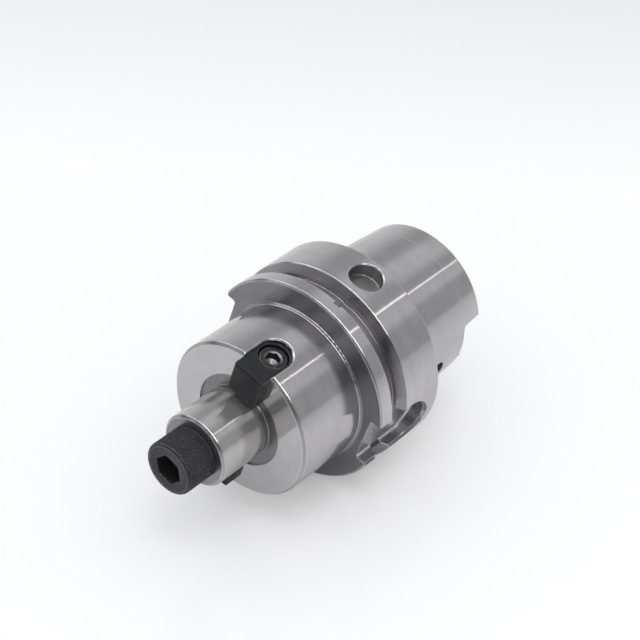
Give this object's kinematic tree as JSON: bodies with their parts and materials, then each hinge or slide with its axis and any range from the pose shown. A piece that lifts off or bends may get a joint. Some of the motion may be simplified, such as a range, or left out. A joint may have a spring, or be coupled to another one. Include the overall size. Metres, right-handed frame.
{
  "type": "shell mill arbor",
  "caption": "Tool holder with a hollow taper shank and slotted gripper flange that carries a shell mill on a pilot with black drive keys and a socket head retaining screw",
  "frame": {"origin": "centre of the ring face that seats against the spindle nose, on the tool axis", "axes": "+Z along the tool axis towards the cutter; -Y through the first drive key and the data carrier pocket; -X through the narrow flange slot"},
  "size_m": [0.063, 0.063, 0.11],
  "materials": {
    "ground_steel": "hardened steel, fine ground all over, satin",
    "black_oxide_key": "black oxide, matte",
    "black_oxide_screw": "black oxide, satin"
  },
  "bodies": {
    "arbor": {"arbor_body": "ground_steel", "drive_key_front": "black_oxide_key", "drive_key_back": "black_oxide_key", "key_screw_front": "black_oxide_screw", "key_screw_back": "black_oxide_screw"},
    "screw": {"retaining_screw": "black_oxide_screw"}
  },
  "joints": [
    {"name": "retaining_screw_lift", "type": "slide", "parent": "arbor", "child": "screw", "axis": [0, 0, 1], "range_m": [0, 0.0315]}
  ]
}
